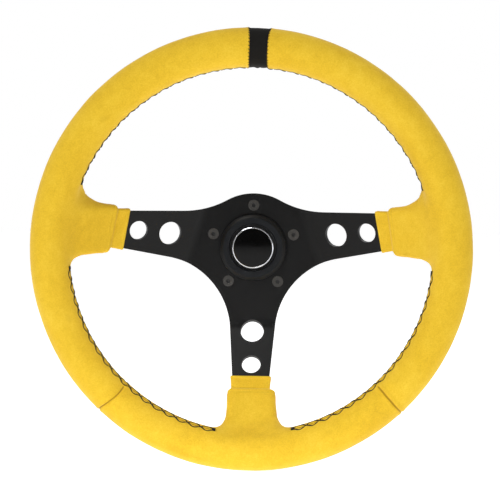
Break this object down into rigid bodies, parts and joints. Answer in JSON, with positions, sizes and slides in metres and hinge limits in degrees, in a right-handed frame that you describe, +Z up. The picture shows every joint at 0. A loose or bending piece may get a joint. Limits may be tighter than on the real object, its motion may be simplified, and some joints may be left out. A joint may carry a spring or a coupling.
{
  "type": "quick release steering wheel",
  "caption": "Deep dish steering wheel with a suede rim, three drilled spokes, a horn button and a ball lock quick release coupling for a splined column hub.",
  "frame": {"origin": "centre of the steering shaft bore at its mouth, on the column end of the splined boss", "axes": "+Y along the steering axis towards the column, the driver is at -Y, +Z up with the wheel straight ahead"},
  "size_m": [0.3492, 0.1523, 0.3492],
  "materials": {
    "yellow_suede": "napped suede",
    "black_suede": "napped suede",
    "black_thread": "waxed thread",
    "foam": "moulded polyurethane foam",
    "black_anodised": "satin black anodised",
    "black_ring": "satin black anodised",
    "ring_steel": "bare steel",
    "black_steel": "dull black oxide",
    "black_plastic": "moulded",
    "gloss_black": "gloss",
    "chrome": "polished",
    "brass": "bare",
    "spring_steel": "bare",
    "ball_steel": "polished",
    "bare_aluminium": "turned",
    "boss_steel": "turned steel"
  },
  "bodies": {
    "column_hub": {"splined_boss": "boss_steel"},
    "wheel": {"spoke_plate": "black_anodised", "rim_core_ring": "ring_steel", "rim_foam": "foam", "rim_wrap_left": "yellow_suede", "rim_wrap_right": "yellow_suede", "rim_wrap_bottom": "yellow_suede", "rim_marker": "black_suede", "rim_lacing": "black_thread", "hub_collar": "black_ring", "hub_screws": "black_steel", "horn_cup": "black_plastic", "horn_terminals": "brass", "horn_contact_ring": "brass", "horn_spring": "spring_steel", "adapter_flange": "black_anodised", "adapter_bolts": "chrome", "release_sleeve": "bare_aluminium", "release_stop_ring": "spring_steel", "release_spring": "spring_steel"},
    "release_collar": {"release_collar": "black_anodised"},
    "horn_button": {"horn_plunger": "black_plastic", "horn_contact_disc": "brass", "horn_bezel": "chrome", "horn_cap": "gloss_black"},
    "lock_ball_1": {"lock_ball_1": "ball_steel"},
    "lock_ball_2": {"lock_ball_2": "ball_steel"},
    "lock_ball_3": {"lock_ball_3": "ball_steel"},
    "lock_ball_4": {"lock_ball_4": "ball_steel"},
    "lock_ball_5": {"lock_ball_5": "ball_steel"},
    "lock_ball_6": {"lock_ball_6": "ball_steel"}
  },
  "joints": [
    {"name": "wheel_release", "type": "slide", "parent": "column_hub", "child": "wheel", "axis": [0, -1, 0], "range_m": [0, 0.045]},
    {"name": "collar_slide", "type": "slide", "parent": "wheel", "child": "release_collar", "axis": [0, -1, 0], "range_m": [0, 0.007], "stiffness_N_per_m": 2500, "springref_m": -0.004, "deforming": ["release_spring"]},
    {"name": "horn_press", "type": "slide", "parent": "wheel", "child": "horn_button", "axis": [0, 1, 0], "range_m": [0, 0.002], "stiffness_N_per_m": 2000, "springref_m": -0.002, "deforming": ["horn_spring"]},
    {"name": "ball_lift_1", "type": "slide", "parent": "wheel", "child": "lock_ball_1", "axis": [1, 0, 0], "range_m": [0, 0.00135]},
    {"name": "ball_lift_2", "type": "slide", "parent": "wheel", "child": "lock_ball_2", "axis": [0.5, 0, 0.866], "range_m": [0, 0.00135]},
    {"name": "ball_lift_3", "type": "slide", "parent": "wheel", "child": "lock_ball_3", "axis": [-0.5, 0, 0.866], "range_m": [0, 0.00135]},
    {"name": "ball_lift_4", "type": "slide", "parent": "wheel", "child": "lock_ball_4", "axis": [-1, 0, 0], "range_m": [0, 0.00135]},
    {"name": "ball_lift_5", "type": "slide", "parent": "wheel", "child": "lock_ball_5", "axis": [-0.5, 0, -0.866], "range_m": [0, 0.00135]},
    {"name": "ball_lift_6", "type": "slide", "parent": "wheel", "child": "lock_ball_6", "axis": [0.5, 0, -0.866], "range_m": [0, 0.00135]}
  ],
  "couplings": [
    {"joint": "ball_lift_1", "follows": "collar_slide", "ratio": 0.19286},
    {"joint": "ball_lift_2", "follows": "collar_slide", "ratio": 0.19286},
    {"joint": "ball_lift_3", "follows": "collar_slide", "ratio": 0.19286},
    {"joint": "ball_lift_4", "follows": "collar_slide", "ratio": 0.19286},
    {"joint": "ball_lift_5", "follows": "collar_slide", "ratio": 0.19286},
    {"joint": "ball_lift_6", "follows": "collar_slide", "ratio": 0.19286}
  ]
}
